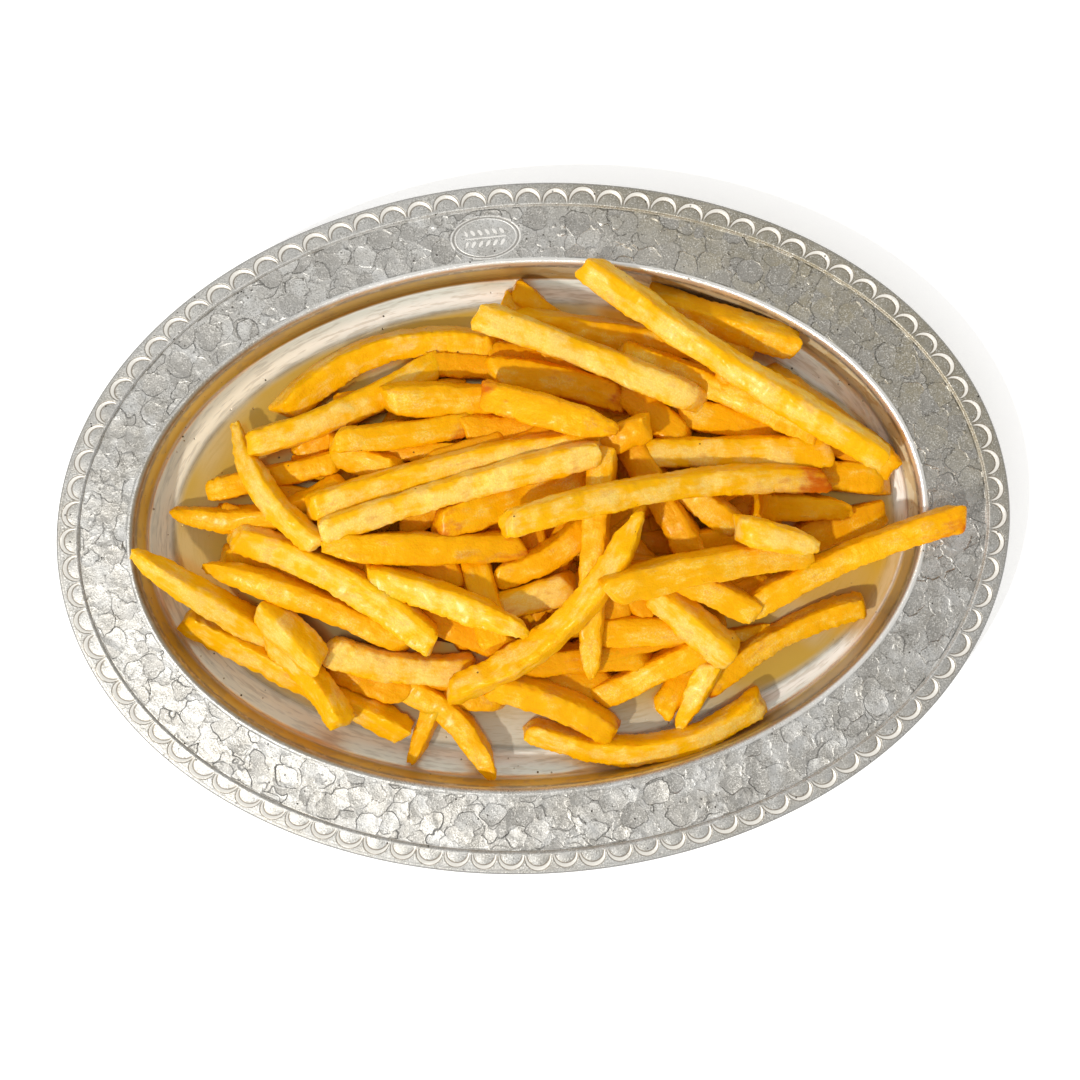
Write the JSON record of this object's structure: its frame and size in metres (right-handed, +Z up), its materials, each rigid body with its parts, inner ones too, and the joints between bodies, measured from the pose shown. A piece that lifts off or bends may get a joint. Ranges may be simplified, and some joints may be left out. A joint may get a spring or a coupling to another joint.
{
  "type": "french fries portion",
  "caption": "Heap of straight-cut potato fries served on an oval hammered metal platter with a broad flat rim.",
  "frame": {"origin": "on the table under the middle of the platter", "axes": "+Z up, +X along the platter's length, +Y across it"},
  "size_m": [0.25, 0.181, 0.037],
  "materials": {
    "platter": "hammered, bright and lightly worn",
    "fries": "golden fried crust, slightly oily"
  },
  "bodies": {
    "root": {"platter": "platter", "fries": "fries"}
  },
  "joints": []
}
